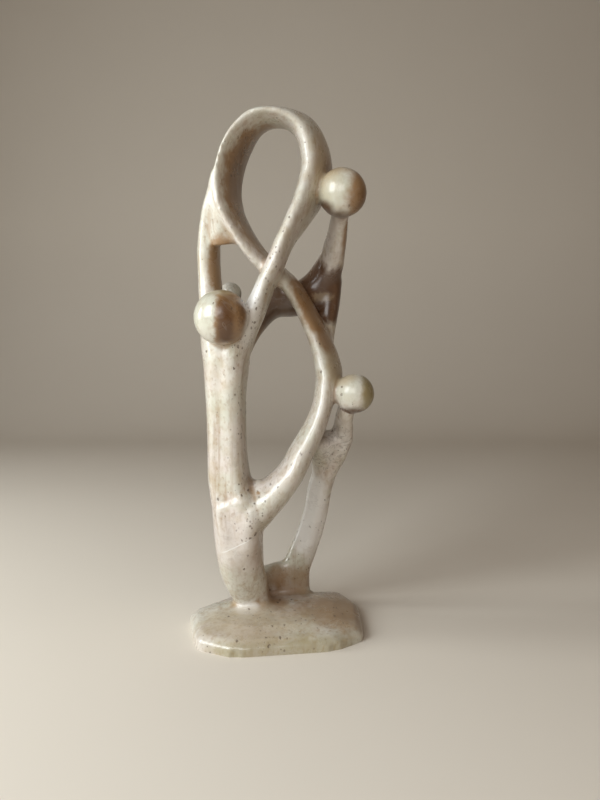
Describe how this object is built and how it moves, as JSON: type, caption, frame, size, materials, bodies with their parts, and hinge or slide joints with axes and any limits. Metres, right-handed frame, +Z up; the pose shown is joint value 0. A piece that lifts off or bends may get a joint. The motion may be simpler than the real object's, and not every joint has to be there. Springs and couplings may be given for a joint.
{
  "type": "soapstone figurine",
  "caption": "Abstract carved family group, round heads on long looping limbs that cross in a figure of eight, rising from a low octagonal plinth, all of one pale polished stone.",
  "frame": {"origin": "on the plinth's flat underside, under the middle of the plinth", "axes": "+Z up, +X to the right along the plinth's long front edge, +Y to the back, away from the side with the largest head"},
  "size_m": [0.1049, 0.08, 0.2979],
  "materials": {
    "soapstone": "pale cream soapstone with pink and olive-brown clouds and small dark specks, hand polished to a soft wax sheen"
  },
  "bodies": {
    "root": {"figurine": "soapstone"}
  },
  "joints": []
}
